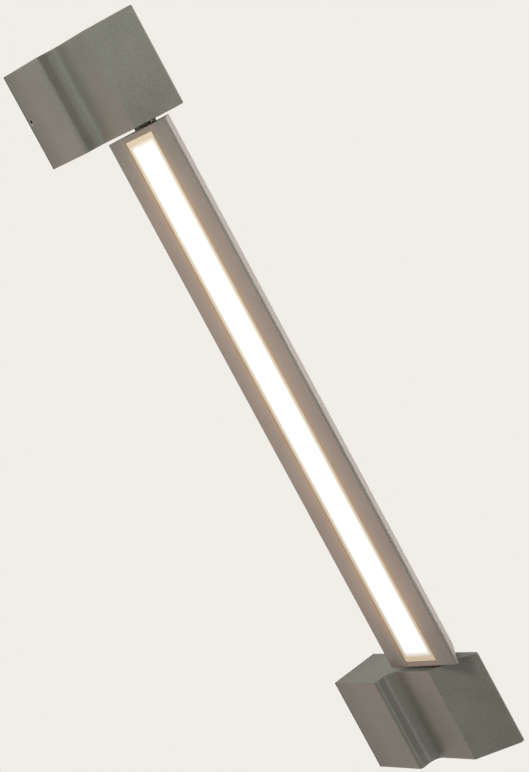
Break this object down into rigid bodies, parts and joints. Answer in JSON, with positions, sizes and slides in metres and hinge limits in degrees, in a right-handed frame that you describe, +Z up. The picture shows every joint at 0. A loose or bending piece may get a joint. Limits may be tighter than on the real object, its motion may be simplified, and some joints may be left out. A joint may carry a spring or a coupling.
{
  "type": "outdoor wall light",
  "caption": "Outdoor wall light: painted arms reach out from the wall and hold an upright bar of triangular section, which turns on its end pivots and shines through a long opal strip.",
  "frame": {"origin": "middle of the wall screws' rectangle, in the plane of the wall", "axes": "+Z up along the light bar, +Y into the wall, +X to the arms' flat side"},
  "size_m": [0.0504, 0.1435, 0.6],
  "materials": {
    "painted_aluminium": "fine sand-textured powder coat, warm grey",
    "zinc_plated_steel": "bright zinc plate",
    "black_oxide_steel": "black oxide, satin",
    "stainless_steel": "plain, turned",
    "dark_anodised_aluminium": "dark brown anodised, satin",
    "bearing_plastic": "natural acetal, moulded, satin",
    "black_rubber": "matte",
    "opal_diffuser": "satin opal, lit from behind",
    "white_circuit_board": "white solder mask",
    "yellow_phosphor": "phosphor gel",
    "white_plastic": "moulded, satin",
    "grey_plastic": "moulded, satin",
    "brass": "plain, turned",
    "black_cable_sheath": "matte"
  },
  "bodies": {
    "wall_frame": {"upper_bracket": "painted_aluminium", "lower_bracket": "painted_aluminium", "upper_wall_plate": "zinc_plated_steel", "lower_wall_plate": "zinc_plated_steel", "upper_rim_gasket": "black_rubber", "lower_rim_gasket": "black_rubber", "upper_grub_screw": "black_oxide_steel", "lower_grub_screw": "black_oxide_steel", "upper_pivot_bush": "bearing_plastic", "lower_pivot_bush": "bearing_plastic", "stop_pin": "zinc_plated_steel", "cable_gland": "black_rubber", "terminal_block": "grey_plastic", "terminal_screws": "brass", "earth_screw": "zinc_plated_steel", "led_driver": "white_plastic", "driver_screws": "zinc_plated_steel", "supply_lead": "black_cable_sheath", "bracket_lead": "black_cable_sheath"},
    "light_bar": {"bar_housing": "painted_aluminium", "upper_end_cap": "painted_aluminium", "lower_end_cap": "painted_aluminium", "upper_cap_gasket": "black_rubber", "lower_cap_gasket": "black_rubber", "upper_cap_screws": "stainless_steel", "lower_cap_screws": "stainless_steel", "diffuser": "opal_diffuser", "diffuser_seals": "black_rubber", "led_board": "white_circuit_board", "led_chips": "yellow_phosphor", "board_screws": "zinc_plated_steel", "board_connector": "white_plastic", "bar_lead": "black_cable_sheath", "upper_pivot_stud": "dark_anodised_aluminium", "lower_pivot_stud": "dark_anodised_aluminium", "upper_pivot_seal": "black_rubber", "lower_pivot_seal": "black_rubber", "upper_thrust_washer": "stainless_steel", "lower_thrust_washer": "stainless_steel", "upper_disc_spring": "stainless_steel", "lower_disc_spring": "stainless_steel", "upper_keyed_washer": "stainless_steel", "lower_keyed_washer": "stainless_steel", "upper_lock_nut": "stainless_steel", "lower_lock_nut": "stainless_steel"}
  },
  "joints": [
    {"name": "bar_turn", "type": "hinge", "parent": "wall_frame", "child": "light_bar", "pos_m": [0.0082, -0.1016, 0], "axis": [0, 0, 1], "range_deg": [-79, 254]}
  ]
}
